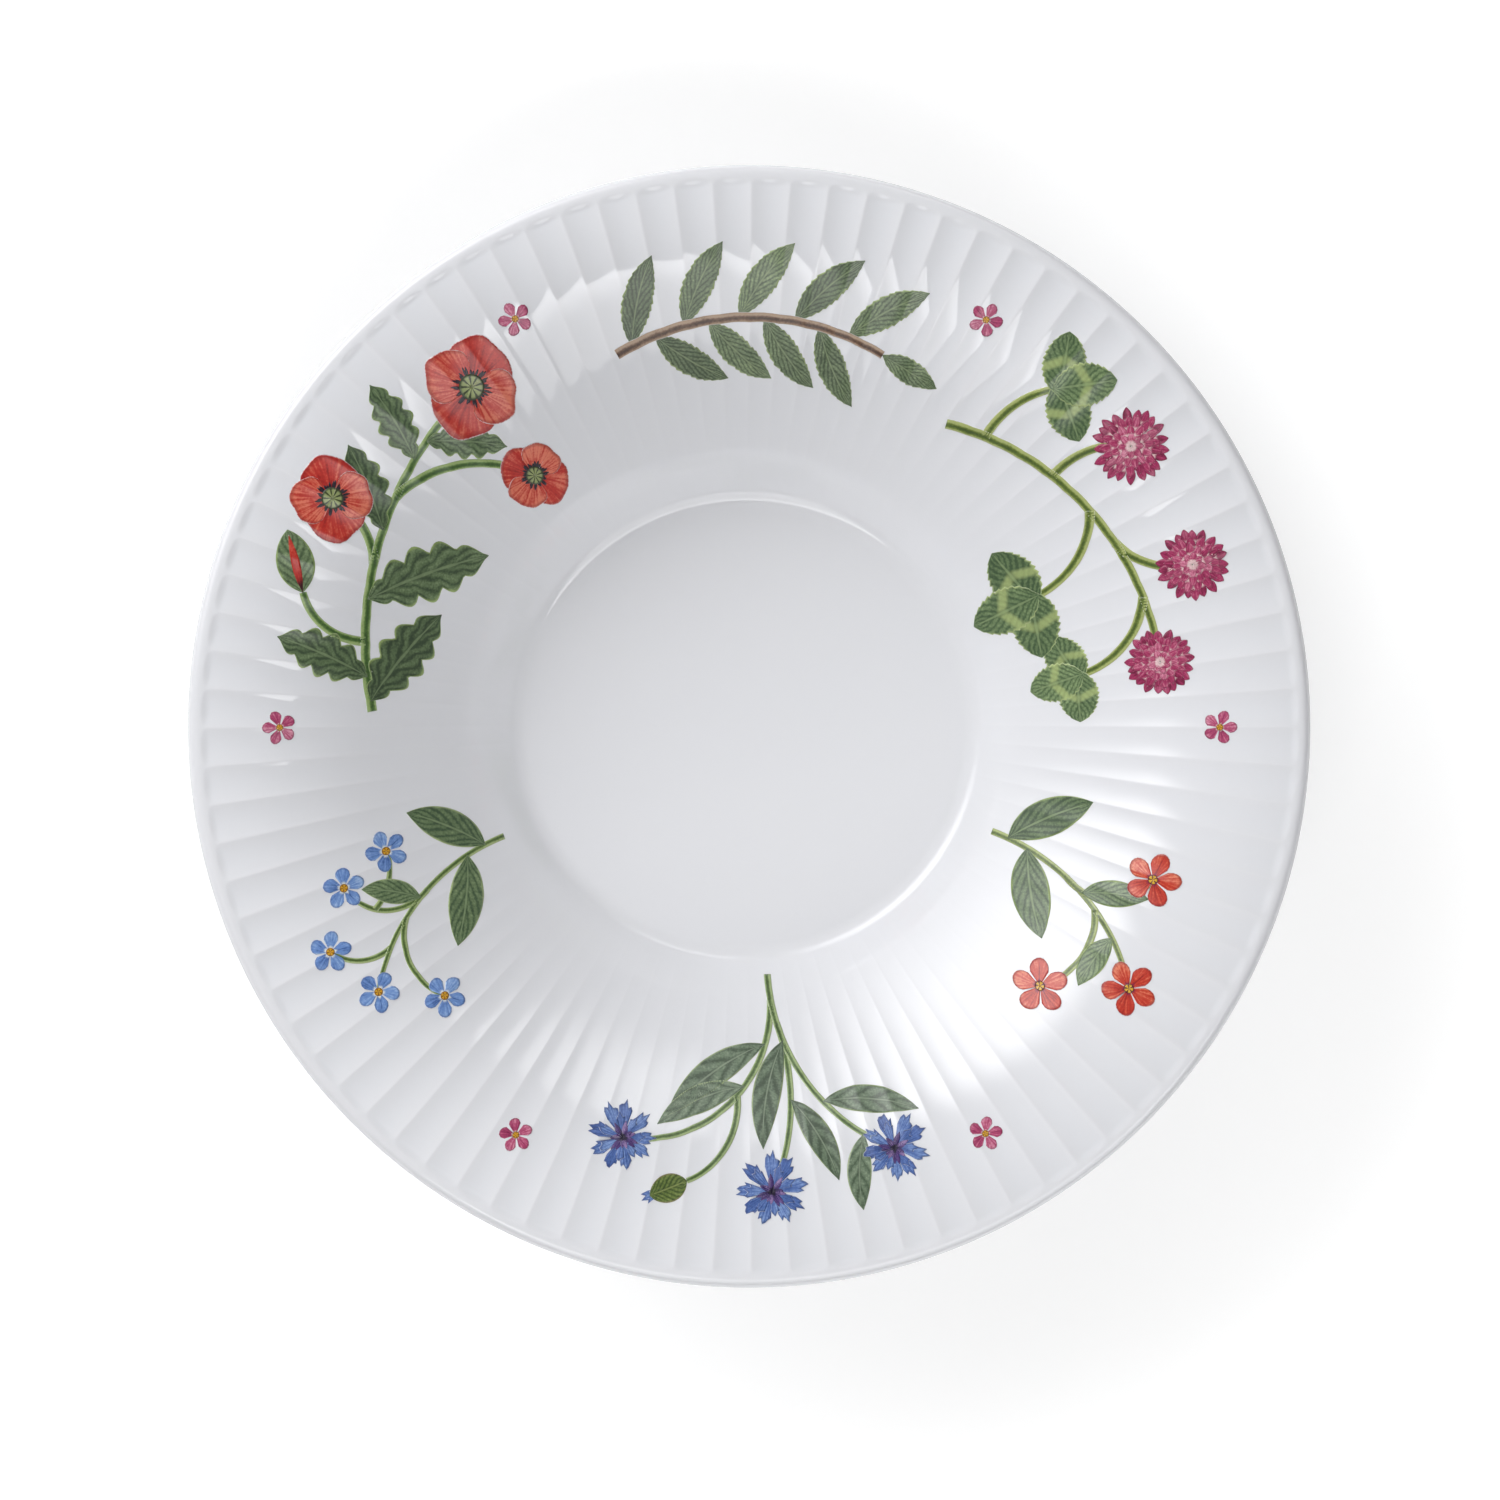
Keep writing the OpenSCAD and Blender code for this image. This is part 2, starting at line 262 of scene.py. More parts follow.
plate_mesh = bpy.data.meshes.new("porcelain_plate")
plate_mesh.from_pydata((plate_xyz * MM).tolist(), [], plate_faces)
plate_mesh.polygons.foreach_set("material_index", plate_finish)
plate_mesh.polygons.foreach_set("use_smooth", [True] * len(plate_faces))
plate_radius = np.hypot(plate_xyz[:, 0], plate_xyz[:, 1])
plate_pool = flute_depth(plate_radius, np.arctan2(plate_xyz[:, 1], plate_xyz[:, 0])) / FLUTE_DEPTH
plate_pool[plate_rings[first_outside][0]:] = 0.0
plate_mesh.attributes.new("glaze_pool", "FLOAT", "POINT").data.foreach_set("value", plate_pool)
plate_mesh.update()
plate = bpy.data.objects.new("porcelain_plate", plate_mesh)
bpy.context.collection.objects.link(plate)


def shade(code):
    """A colour written as a web code, in the linear values that the shader takes."""
    parts = [int(code[i:i + 2], 16) / 255.0 for i in (1, 3, 5)]
    linear = [p / 12.92 if p <= 0.04045 else ((p + 0.055) / 1.055) ** 2.4 for p in parts]
    return (*linear, 1.0)


class Finish:
    """One material and short words for adding nodes to it."""

    def __init__(self, name):
        self.material = bpy.data.materials.new(name)
        self.material.use_nodes = True
        self.tree = self.material.node_tree
        self.surface = self.tree.nodes["Principled BSDF"]
        self.place = self.tree.nodes.new("ShaderNodeTexCoord").outputs["Object"]

    def feed(self, socket, value):
        if isinstance(value, bpy.types.NodeSocket):
            self.tree.links.new(value, socket)
        else:
            socket.default_value = value

    def math(self, operation, a, b=0.0):
        node = self.tree.nodes.new("ShaderNodeMath")
        node.operation = operation
        self.feed(node.inputs[0], a)
        self.feed(node.inputs[1], b)
        return node.outputs[0]

    def ease(self, value, low, high):
        node = self.tree.nodes.new("ShaderNodeMapRange")
        node.interpolation_type = "SMOOTHSTEP"
        self.feed(node.inputs["Value"], value)
        node.inputs["From Min"].default_value = low
        node.inputs["From Max"].default_value = high
        return node.outputs[0]

    def mix(self, share, a, b):
        node = self.tree.nodes.new("ShaderNodeMix")
        node.data_type = "RGBA"
        self.feed(node.inputs[0], share)
        self.feed(node.inputs[6], a)
        self.feed(node.inputs[7], b)
        return node.outputs[2]

    def noise(self, scale, detail=2.0, where=None):
        node = self.tree.nodes.new("ShaderNodeTexNoise")
        self.feed(node.inputs["Vector"], where or self.place)
        node.inputs["Scale"].default_value = scale
        node.inputs["Detail"].default_value = detail
        return node.outputs[0]

    def attribute(self, name, output):
        node = self.tree.nodes.new("ShaderNodeAttribute")
        node.attribute_name = name
        return node.outputs[output]

    def bump(self, height, strength, distance):
        node = self.tree.nodes.new("ShaderNodeBump")
        self.feed(node.inputs["Height"], height)
        node.inputs["Strength"].default_value = strength
        node.inputs["Distance"].default_value = distance
        self.feed(self.surface.inputs["Normal"], node.outputs[0])


# Clear glaze over the white body: faint clouds, a bluer tint where it pools in the flutes, barely wavy.
GLAZE_WHITE = (0.826, 0.833, 0.867, 1.0)
GLAZE_COOL = (0.817, 0.825, 0.861, 1.0)
GLAZE_WARM = (0.837, 0.842, 0.872, 1.0)
GLAZE_POOLED = (0.791, 0.809, 0.854, 1.0)
GLAZE_ROUGH = 0.035
GLAZE_ROUGH_RANGE = 0.02
GLAZE_IOR = 1.5

glaze = Finish("clear_glaze_over_white")
glaze_cloud = glaze.noise(22.0)
glaze_colour = glaze.mix(glaze_cloud, GLAZE_COOL, GLAZE_WARM)
glaze_pooled = glaze.math("MULTIPLY", glaze.attribute("glaze_pool", "Fac"), 0.35)
glaze_colour = glaze.mix(glaze_pooled, glaze_colour, GLAZE_POOLED)
glaze.feed(glaze.surface.inputs["Base Color"], glaze_colour)
glaze_rough = glaze.math("MULTIPLY", glaze.noise(90.0), GLAZE_ROUGH_RANGE)
glaze_rough = glaze.math("ADD", glaze_rough, GLAZE_ROUGH - GLAZE_ROUGH_RANGE / 2)
glaze.feed(glaze.surface.inputs["Roughness"], glaze_rough)
glaze.surface.inputs["IOR"].default_value = GLAZE_IOR
glaze.bump(glaze.noise(55.0, 1.0), 0.10, 0.0004)

# Bare clay on the standing edge: matt, grainy and scuffed grey by tables.
BARE_DARK = (0.70, 0.69, 0.66, 1.0)
BARE_PALE = (0.80, 0.79, 0.765, 1.0)
BARE_SCUFFED = (0.52, 0.51, 0.49, 1.0)
BARE_ROUGH = 0.62

bare = Finish("bare_fired_clay")
bare_grain = bare.noise(2600.0, 4.0)
bare_colour = bare.mix(bare_grain, BARE_DARK, BARE_PALE)
bare_scuff = bare.ease(bare.noise(160.0, 5.0), 0.55, 0.72)
bare_colour = bare.mix(bare.math("MULTIPLY", bare_scuff, 0.35), bare_colour, BARE_SCUFFED)
bare.feed(bare.surface.inputs["Base Color"], bare_colour)
bare.surface.inputs["Roughness"].default_value = BARE_ROUGH
bare.bump(bare_grain, 0.35, 0.0001)

plate_mesh.materials.append(glaze.material)
plate_mesh.materials.append(bare.material)
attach(plate, "root")
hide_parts("porcelain_body")


# Poppy spray
# A printed film of watercolour poppies, floated onto the glaze by hand and fired until it melts in.
# Each leaf, stem and petal is a patch of colour on the fluted wall, with soft edges and grainy pigment.

SPRAY_R = 76.0
FILM_LIFT = 0.050
FILM_STEP = 0.010
FILM_SUNK = 0.020
FILM_ROUGH = 0.28
CELL = 0.45


class Transfer:
    """One printed film, gathered patch by patch. In its drawing, Y points to the lip and X clockwise."""

    def __init__(self, name, azimuth):
        self.name = name
        self.azimuth = azimuth
        self.points = []
        self.faces = []
        self.paints = []
        self.pattern = []
        self.count = 0
        self.finishes = []

    def lay(self, x, y, along, across, finish, layer, tone):
        """Adds one patch: a grid of plan points with their places along and across its pattern."""
        if finish not in self.finishes:
            self.finishes.append(finish)
        turn = math.radians(self.azimuth - 90.0)
        plan_x = x * math.cos(turn) - (y + SPRAY_R) * math.sin(turn)
        plan_y = x * math.sin(turn) + (y + SPRAY_R) * math.cos(turn)
        radius = np.hypot(plan_x, plan_y)
        angle = np.arctan2(plan_y, plan_x)
        upper = on_plate(radius, angle, FILM_LIFT + layer * FILM_STEP).reshape(-1, 3)
        lower = on_plate(radius, angle, -FILM_SUNK).reshape(-1, 3)
        rows, columns = x.shape
        size = rows * columns
        index = np.arange(size).reshape(rows, columns) + self.count
        corners = (index[:-1, :-1], index[1:, :-1], index[1:, 1:], index[:-1, 1:])
        top = np.stack(corners, axis=-1).reshape(-1, 4)
        bottom = top[:, ::-1] + size
        edge = np.concatenate([index[:, 0], index[-1, 1:], index[-2::-1, -1], index[0, -2:0:-1]])
        after = np.roll(edge, -1)
        side = np.stack([edge, edge + size, after + size, after], axis=-1)
        self.points += [upper, lower]
        place = np.stack([along, across, np.full_like(along, tone)], axis=-1).reshape(-1, 3)
        self.pattern += [place, place]
        self.faces += [top, bottom, side]
        self.paints += [self.finishes.index(finish)] * (len(top) + len(bottom) + len(side))
        self.count += 2 * size

    def fire(self):
        """Makes the film a piece of the plate, in place of the solid of the same name."""
        mesh = bpy.data.meshes.new(self.name + "_film")
        points = np.concatenate(self.points) * MM
        mesh.from_pydata(points.tolist(), [], np.concatenate(self.faces).tolist())
        mesh.polygons.foreach_set("material_index", self.paints)
        mesh.polygons.foreach_set("use_smooth", [True] * len(self.paints))
        pattern = mesh.attributes.new("pattern", "FLOAT_VECTOR", "POINT")
        pattern.data.foreach_set("vector", np.concatenate(self.pattern).ravel())
        for finish in self.finishes:
            mesh.materials.append(finish.material)
        mesh.update()
        film = bpy.data.objects.new(self.name + "_film", mesh)
        bpy.context.collection.objects.link(film)
        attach(film, "root")
        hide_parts(self.name)


def arc(stem, t):
    """Point and heading at a share t of a stem [from, to, bow], bowed to the left of its run."""
    (x0, y0), (x1, y1), bow = stem
    span = math.hypot(x1 - x0, y1 - y0)
    bend_r = (span * span / 4 + bow * bow) / (2 * abs(bow))
    run = math.atan2(y1 - y0, x1 - x0)
    side = math.copysign(1.0, bow)
    swing = (2 * np.asarray(t, dtype=float) - 1) * math.asin(span / 2 / bend_r)
    forward = span / 2 + bend_r * np.sin(swing)
    left = side * (bend_r * np.cos(swing) - bend_r + abs(bow))
    x = x0 + forward * math.cos(run) - left * math.sin(run)
    y = y0 + forward * math.sin(run) + left * math.cos(run)
    return x, y, run - side * swing


def place_on(stem, t):
    """A point of a stem and the stem's heading there."""
    x, y, heading = arc(stem, t)
    return (float(x), float(y)), float(heading)


def joint(stem, t):
    """The point where a side stem leaves another one."""
    return place_on(stem, t)[0]


def out_from(point, angle, distance):
    """The point that lies a distance away from another one."""
    return (point[0] + distance * math.cos(angle), point[1] + distance * math.sin(angle))


def cells(length):
    """Number of grid points that a length needs."""
    return max(4, int(math.ceil(length / CELL)) + 1)


def ribbon(x, y, heading, half_width):
    """A grid of plan points along a line, as wide as half_width to either side."""
    across = np.linspace(-1.0, 1.0, cells(2.0 * float(np.max(half_width))))
    grid_x = x[:, None] - np.sin(heading)[:, None] * across[None, :] * half_width[:, None]
    grid_y = y[:, None] + np.cos(heading)[:, None] * across[None, :] * half_width[:, None]
    along = np.repeat(np.linspace(0.0, 1.0, len(x))[:, None], len(across), axis=1)
    return grid_x, grid_y, along, np.repeat(across[None, :], len(x), axis=0)


STEM_W = 1.8
STEM_FOOT = 1.05
STEM_TAPER = 0.25


def draw_stem(film, stem, finish, layer=0, width=STEM_W, tone=0.5):
    """A stem: one stroke that narrows towards its tip."""
    span = math.hypot(stem[1][0] - stem[0][0], stem[1][1] - stem[0][1])
    t = np.linspace(0.0, 1.0, cells(span))
    x, y, heading = arc(stem, t)
    half = 0.5 * width * (STEM_FOOT - STEM_TAPER * t)
    film.lay(*ribbon(x, y, heading, half), finish, layer, tone)


LEAF_FULLER = 0.12
TOOTH_DEPTH = 0.13
LOBE_WAIST = 0.66
LOBE_SWELL = 0.40
LOBE_SHIFT = 0.15
HAIRLINE = 0.06


def draw_leaf(film, base, heading, length, width, finish, layer=1, tone=0.5, curl=0.0, teeth=0, lobes=0):
    """A leaf from its base: a lens of two arcs, with teeth or lobes cut into its edge."""
    rows = max(cells(length), 4 * max(teeth, lobes) + 1)
    u = np.linspace(0.0, 1.0, rows)
    turn = heading + curl * (u - 0.5)
    step_x = np.cos(turn) * length / (rows - 1)
    step_y = np.sin(turn) * length / (rows - 1)
    x = base[0] + np.concatenate([[0.0], np.cumsum(0.5 * (step_x[1:] + step_x[:-1]))])
    y = base[1] + np.concatenate([[0.0], np.cumsum(0.5 * (step_y[1:] + step_y[:-1]))])
    side_r = (length * length + width * width) / (4.0 * width)
    half = np.sqrt(np.maximum(side_r ** 2 - (length * (u - 0.5)) ** 2, 0.0)) - (side_r - width / 2)
    half = np.maximum(half, 0.0) * (1.0 + LEAF_FULLER * (0.5 - u))
    if teeth:
        half = half * (1.0 - TOOTH_DEPTH * np.mod(u * teeth, 1.0))
    if lobes:
        half = half * (LOBE_WAIST + LOBE_SWELL * np.abs(np.sin(math.pi * (lobes * u + LOBE_SHIFT))))
    half = np.maximum(half, HAIRLINE)
    film.lay(*ribbon(x, y, turn, half), finish, layer, tone)


def leaf_on(film, stem, t, lean, length, width, finish, **rest):
    """A leaf that grows from a stem and leans away from its heading, to the left if lean is above 0."""
    base, heading = place_on(stem, t)
    draw_leaf(film, base, heading + math.radians(lean), length, width, finish, **rest)


def lay_rays(film, centre, u, v, rim, angle, finish, layer, tone):
    """Lays a patch of rays from a centre out to a rim, with u along the rays and v from ray to ray."""
    x = centre[0] + u[:, None] * rim[None, :] * np.cos(angle)[None, :]
    y = centre[1] + u[:, None] * rim[None, :] * np.sin(angle)[None, :]
    along = np.repeat(u[:, None], len(v), axis=1)
    film.lay(x, y, along, np.repeat(v[None, :], len(u), axis=0), finish, layer, tone)


def draw_fan(film, centre, heading, reach, spread, finish, layer, tone, edge=0.3, ripple=(), start=0.04):
    """A petal: it opens from a point by spread to either side, and its edge rounds off and ripples."""
    v = np.linspace(-1.0, 1.0, cells(1.6 * spread * reach))
    u = np.linspace(start, 1.0, cells(reach))
    rim = reach * np.maximum(np.cos(v * math.pi / 2), 0.0) ** edge
    for waves, height, shift in ripple:
        rim = rim * (1.0 + height * np.sin(waves * v + shift))
    lay_rays(film, centre, u, v, rim, heading + spread * v, finish, layer, tone)


def draw_disc(film, centre, reach, finish, layer, tone):
    """A round heart."""
    v = np.linspace(-1.0, 1.0, max(17, cells(6.3 * reach)))
    u = np.linspace(0.05, 1.0, cells(reach))
    lay_rays(film, centre, u, v, np.full_like(v, reach), math.pi * v, finish, layer, tone)


GRAIN_SCALE = 2300.0
WASH_SCALE = 420.0
PATCH_SHIFT = 37.0


class Pigment(Finish):
    """Watercolour under a melted film: grainy colour that thins out to bare white at its edges."""

    def __init__(self, name):
        super().__init__(name)
        spread = self.tree.nodes.new("ShaderNodeSeparateXYZ")
        self.feed(spread.inputs[0], self.attribute("pattern", "Vector"))
        self.along, self.across, self.tone = spread.outputs
        self.side = self.math("ABSOLUTE", self.across)
        self.grain = self.noise(GRAIN_SCALE, 3.0)
        self.wash = self.noise(WASH_SCALE, 3.0)

    def spread_by(self, value, amount):
        """A value from 0 to 1, moved to swing about 0 by half of amount."""
        return self.math("MULTIPLY", self.math("SUBTRACT", value, 0.5), amount)

    def stretched(self, along, across, scale, detail=2.0):
        """Noise drawn out along the patch, different on each patch."""
        place = self.tree.nodes.new("ShaderNodeCombineXYZ")
        self.feed(place.inputs[0], self.math("MULTIPLY", self.along, along))
        self.feed(place.inputs[1], self.math("MULTIPLY", self.across, across))
        self.feed(place.inputs[2], self.math("MULTIPLY", self.tone, PATCH_SHIFT))
        return self.noise(scale, detail, place.outputs[0])

    def tint(self, colour, where, strength, code):
        """Lays another colour over a part of what is there."""
        return self.mix(self.math("MULTIPLY", where, strength), colour, shade(code))

    def cover(self, colour, amount):
        """Ends the material: colour where amount is 1, the white of the plate where it is 0."""
        self.feed(self.surface.inputs["Base Color"], self.mix(amount, GLAZE_WHITE, colour))
        self.surface.inputs["Roughness"].default_value = FILM_ROUGH
        self.surface.inputs["IOR"].default_value = GLAZE_IOR


def leaf_paint(name, deep, middle, light, halo, veins, slant, mark=0.0):
    """Leaf green with a pale midrib, dark side veins, lighter cells between them and a yellow edge."""
    p = Pigment(name)
    order = p.math("SUBTRACT", p.math("MULTIPLY", p.along, veins), p.math("MULTIPLY", p.side, slant))
    order = p.math("ADD", order, p.spread_by(p.wash, 0.45))
    cell = p.math("ABSOLUTE", p.math("SUBTRACT", p.math("FRACT", order), 0.5))
    lit = p.math("MULTIPLY", p.ease(cell, 0.02, 0.40), 0.55)
    lit = p.math("ADD", p.math("ADD", lit, 0.28), p.spread_by(p.grain, 1.5))
    lit = p.math("ADD", lit, p.spread_by(p.wash, 0.9))
    lit = p.math("ADD", p.math("MULTIPLY", lit, 0.62), p.spread_by(p.tone, 0.6))
    colour = p.mix(p.ease(lit, 0.0, 0.55), shade(deep), shade(middle))
    colour = p.mix(p.ease(lit, 0.42, 1.0), colour, shade(light))
    vein = p.math("MULTIPLY", p.ease(cell, 0.09, 0.01), p.ease(p.side, 0.95, 0.5))
    colour = p.tint(colour, vein, 0.60, deep)
    if mark:
        band = p.math("ADD", p.along, p.math("MULTIPLY", p.side, 0.16))
        band = p.math("ABSOLUTE", p.math("SUBTRACT", band, mark))
        colour = p.tint(colour, p.ease(band, 0.11, 0.03), 0.55, halo)
    colour = p.tint(colour, p.ease(p.side, 0.22, 0.06), 0.40, deep)
    colour = p.tint(colour, p.ease(p.side, 0.075, 0.03), 0.50, light)
    rough_side = p.math("ADD", p.side, p.spread_by(p.wash, 0.16))
    colour = p.tint(colour, p.ease(rough_side, 0.86, 1.0), 0.70, halo)
    amount = p.ease(p.math("ADD", p.side, p.spread_by(p.grain, 0.03)), 1.02, 0.985)
    p.cover(colour, amount)
    return p


def stem_paint(name, deep, middle, light):
    """A brush stroke with a dark core to one side and pale edges."""
    p = Pigment(name)
    core = p.ease(p.math("ABSOLUTE", p.math("ADD", p.across, 0.18)), 0.75, 0.05)
    core = p.math("ADD", core, p.spread_by(p.grain, 0.9))
    core = p.math("ADD", core, p.spread_by(p.wash, 0.8))
    colour = p.mix(p.ease(core, 0.0, 0.6), shade(light), shade(middle))
    colour = p.mix(p.ease(core, 0.5, 1.15), colour, shade(deep))
    amount = p.ease(p.math("ADD", p.side, p.spread_by(p.grain, 0.10)), 1.0, 0.90)
    p.cover(colour, amount)
    return p


def petal_paint(name, deep, middle, light, base, base_reach, streak=14.0):
    """A petal with streaks that run out from its base, a stain at the base and a darker dry edge."""
    p = Pigment(name)
    streaks = p.stretched(1.1, streak, 1.0, 3.0)
    lit = p.math("ADD", p.spread_by(streaks, 1.6), p.spread_by(p.grain, 0.7))
    lit = p.math("ADD", lit, p.spread_by(p.wash, 0.7))
    lit = p.math("ADD", lit, p.math("MULTIPLY", p.along, 0.35))
    lit = p.math("ADD", lit, p.math("MULTIPLY", p.tone, 0.75))
    colour = p.mix(p.ease(lit, 0.0, 0.62), shade(deep), shade(middle))
    colour = p.mix(p.ease(lit, 0.55, 1.15), colour, shade(light))
    stain = p.math("ADD", p.along, p.spread_by(streaks, 0.30))
    colour = p.mix(p.ease(stain, base_reach, base_reach * 0.55), colour, shade(base))
    dry = p.math("MAXIMUM", p.ease(p.along, 0.86, 0.96), p.ease(p.side, 0.86, 0.97))
    colour = p.tint(colour, dry, 0.55, deep)
    amount = p.ease(p.math("ADD", p.along, p.spread_by(p.grain, 0.05)), 1.01, 0.975)
    p.cover(colour, amount)
    return p


def heart_paint(name, centre, rim, rays):
    """A flower's heart: rays of one colour on another."""
    p = Pigment(name)
    ray = p.math("ABSOLUTE", p.math("SINE", p.math("MULTIPLY", p.across, math.pi / 2 * rays)))
    ray = p.math("ADD", ray, p.spread_by(p.grain, 0.8))
    colour = p.mix(p.ease(ray, 0.25, 0.8), shade(rim), shade(centre))
    colour = p.mix(p.ease(p.along, 0.72, 0.95), colour, shade(rim))
    p.cover(colour, 1.0)
    return p


poppy_leaf = leaf_paint("poppy_leaf_green", "#3c4b37", "#607452", "#91a67b", "#a9bf72", 6.0, 2.2)
poppy_stem = stem_paint("poppy_stem_green", "#3f5a2f", "#5f8043", "#9db374")
poppy_petal = petal_paint("poppy_scarlet", "#8d1a1c", "#c2352c", "#e27f66", "#3a1520", 0.26)
poppy_heart = heart_paint("poppy_heart_green", "#9aa56e", "#39422c", 9)
poppy_stamen = heart_paint("poppy_stamens", "#231a24", "#2c2230", 3)

# The direction, size, spread, layer and tone of each petal.
POPPY_PETALS = ((0, 0.98, 1.45, 3, 0.30), (180, 1.0, 1.45, 4, 0.42),
                (86, 0.95, 1.12, 5, 0.66), (268, 0.93, 1.16, 6, 0.78))
STAMENS = 30
STAMEN_W = 0.5


def draw_poppy(film, centre, d, turn, shift):
    """A wide open poppy: two petals behind, two in front, a ring of stamens and the round seed head."""
    reach = d / 2
    for k, (angle, size, spread, layer, tone) in enumerate(POPPY_PETALS):
        ripple = ((5.0, 0.030, shift + k), (9.0, 0.022, 2.0 * shift + k), (15.0, 0.012, k))
        draw_fan(film, centre, math.radians(turn + angle), 0.95 * size * reach, spread, poppy_petal,
                 layer, tone + 0.1 * shift, edge=0.26, ripple=ripple)
    for k in range(STAMENS):
        angle = math.radians(turn + 360.0 / STAMENS * k + 4.0 * math.sin(3.0 * k))
        length = reach * (0.15 + 0.05 * math.sin(5.0 * k))
        base = out_from(centre, angle, 0.20 * reach)
        draw_leaf(film, base, angle, length, STAMEN_W, poppy_stamen, layer=7, tone=0.5)
    draw_disc(film, centre, 0.24 * reach, poppy_heart, 8, 0.5)


poppies = Transfer("poppy_spray", 150.0)
main = [(-33, -13), (29, 1), 8]
upper = [joint(main, 0.42), (-2, 13), -2]
lower = [joint(main, 0.62), (21, -17), 4]
bud = [joint(main, 0.2), (-20, 9), 2.5]
for stem in (bud, lower, upper, main):
    draw_stem(poppies, stem, poppy_stem)
for k, (t, lean, length, width) in enumerate((
        (0.03, -48, 21, 9.5), (0.1, 60, 18, 8.5), (0.32, -62, 24, 10.5),
        (0.52, 40, 17, 7.5), (0.74, 62, 16, 7), (0.8, -58, 15, 6.5))):
    leaf_on(poppies, main, t, lean, length, width, poppy_leaf, tone=0.35 + 0.13 * (k % 3),
            curl=math.copysign(0.25, lean), lobes=5)
leaf_on(poppies, bud, 1, 0, 12, 7, poppy_leaf, tone=0.75)
leaf_on(poppies, bud, 1, 0, 11, 1.6, poppy_petal, layer=2, tone=0.5)
draw_poppy(poppies, upper[1], 17, 40, 0.7)
draw_poppy(poppies, lower[1], 14, 100, 1.9)
draw_poppy(poppies, main[1], 20, 10, 0.2)
poppies.fire()


# Cornflower spray
# The same kind of film with three cornflowers on thin branching stems and narrow grey-green leaves.
# Each flower is two rings of trumpet florets round a tuft of dark violet ones.

corn_leaf = leaf_paint("cornflower_leaf_green", "#475544", "#6b7d66", "#9dac93", "#b4c48f", 5.0, 1.2)
corn_stem = stem_paint("cornflower_stem_green", "#465c33", "#6c8550", "#a5b682")
corn_floret = petal_paint("cornflower_blue", "#2c3c70", "#5470b0", "#93aeda", "#3b2f5e", 0.30, 9.0)
corn_tuft = petal_paint("cornflower_violet", "#2a1d46", "#57407f", "#a187b5", "#1f1733", 0.35, 5.0)
corn_scale = leaf_paint("cornflower_scales", "#3b4a2a", "#66793f", "#a6b06c", "#8b7a4a", 7.0, -2.5)

# The number, size, layer and turn of the florets in each ring.
CORN_RINGS = ((9, 0.97, 3, 0.0), (7, 0.70, 5, 0.3))
CORN_SPREAD = 0.36
TUFT_FLORETS = 14


def draw_cornflower(film, centre, d, turn):
    """A cornflower: two rings of toothed florets round a tuft."""
    reach = d / 2
    for ring, (count, size, layer, shift) in enumerate(CORN_RINGS):
        for k in range(count):
            angle = math.radians(turn + 360.0 * (k + shift) / count + 5.0 * math.sin(4.0 * k + ring))
            long = reach * size * (0.93 + 0.07 * math.sin(7.0 * k + turn))
            teeth = ((11.0, 0.10, 0.5 * k), (5.0, 0.04, 1.0))
            tone = 0.25 + 0.5 * ((3 * k + 2 * ring) % 7) / 7.0
            draw_fan(film, centre, angle, long * 0.88, CORN_SPREAD, corn_floret, layer + k % 2, tone,
                     edge=0.22, ripple=teeth, start=0.10)
    for k in range(TUFT_FLORETS):
        angle = math.radians(turn + 360.0 * k / TUFT_FLORETS + 9.0 * math.sin(3.0 * k))
        long = reach * (0.34 + 0.08 * math.sin(5.0 * k))
        draw_leaf(film, centre, angle, long, 0.9, corn_tuft, layer=7, tone=0.2 + 0.6 * (k % 3) / 2.0)


cornflowers = Transfer("cornflower_spray", 270.0)
left = [(-4, -28), (-27, 3), -6]
middle = [joint(left, 0.22), (-4, 11), 3]
right = [joint(left, 0.1), (24, 1), 9]
bud = [joint(right, 0.45), (12, 9), 3]
for stem in (bud, right, middle, left):
    draw_stem(cornflowers, stem, corn_stem, width=1.35)
for k, (stem, t, lean, length, width) in enumerate((
        (left, 0.3, -35, 20, 5.4), (left, 0.62, 42, 18, 5), (left, 0.85, -62, 14, 4.6),
        (middle, 0.45, 32, 17, 5), (right, 0.2, -38, 23, 5.6), (right, 0.4, -30, 18, 5))):
    leaf_on(cornflowers, stem, t, lean, length, width, corn_leaf, tone=0.35 + 0.15 * (k % 3),
            curl=math.copysign(0.5, -lean))
bud_end, bud_heading = place_on(bud, 1)
draw_fan(cornflowers, out_from(bud_end, bud_heading, 4.2), bud_heading, 4.6, 0.42, corn_floret, 1, 0.5,
         edge=0.2, ripple=((11.0, 0.12, 0.3),))
leaf_on(cornflowers, bud, 1, 0, 7.5, 5.2, corn_scale, layer=2, tone=0.5)
draw_cornflower(cornflowers, left[1], 15, 10)
draw_cornflower(cornflowers, middle[1], 16, 35)
draw_cornflower(cornflowers, right[1], 15, 60)
cornflowers.fire()


# Clover spray
# A film of red clover: round heads packed with slender florets, and trefoil leaves that each carry a
# pale chevron. The stems run along the wall and the leaves stand off them.

clover_leaf = leaf_paint("clover_leaf_green", "#41553b", "#667c56", "#99ae7c", "#bccb86", 8.0, 3.0,
                         mark=0.56)
clover_stem = stem_paint("clover_stem_green", "#4b5c30", "#74863f", "#adb673")
clover_floret = petal_paint("clover_crimson", "#6d1c3c", "#a63560", "#d98ba4", "#e3c3c4", 0.42, 4.0)

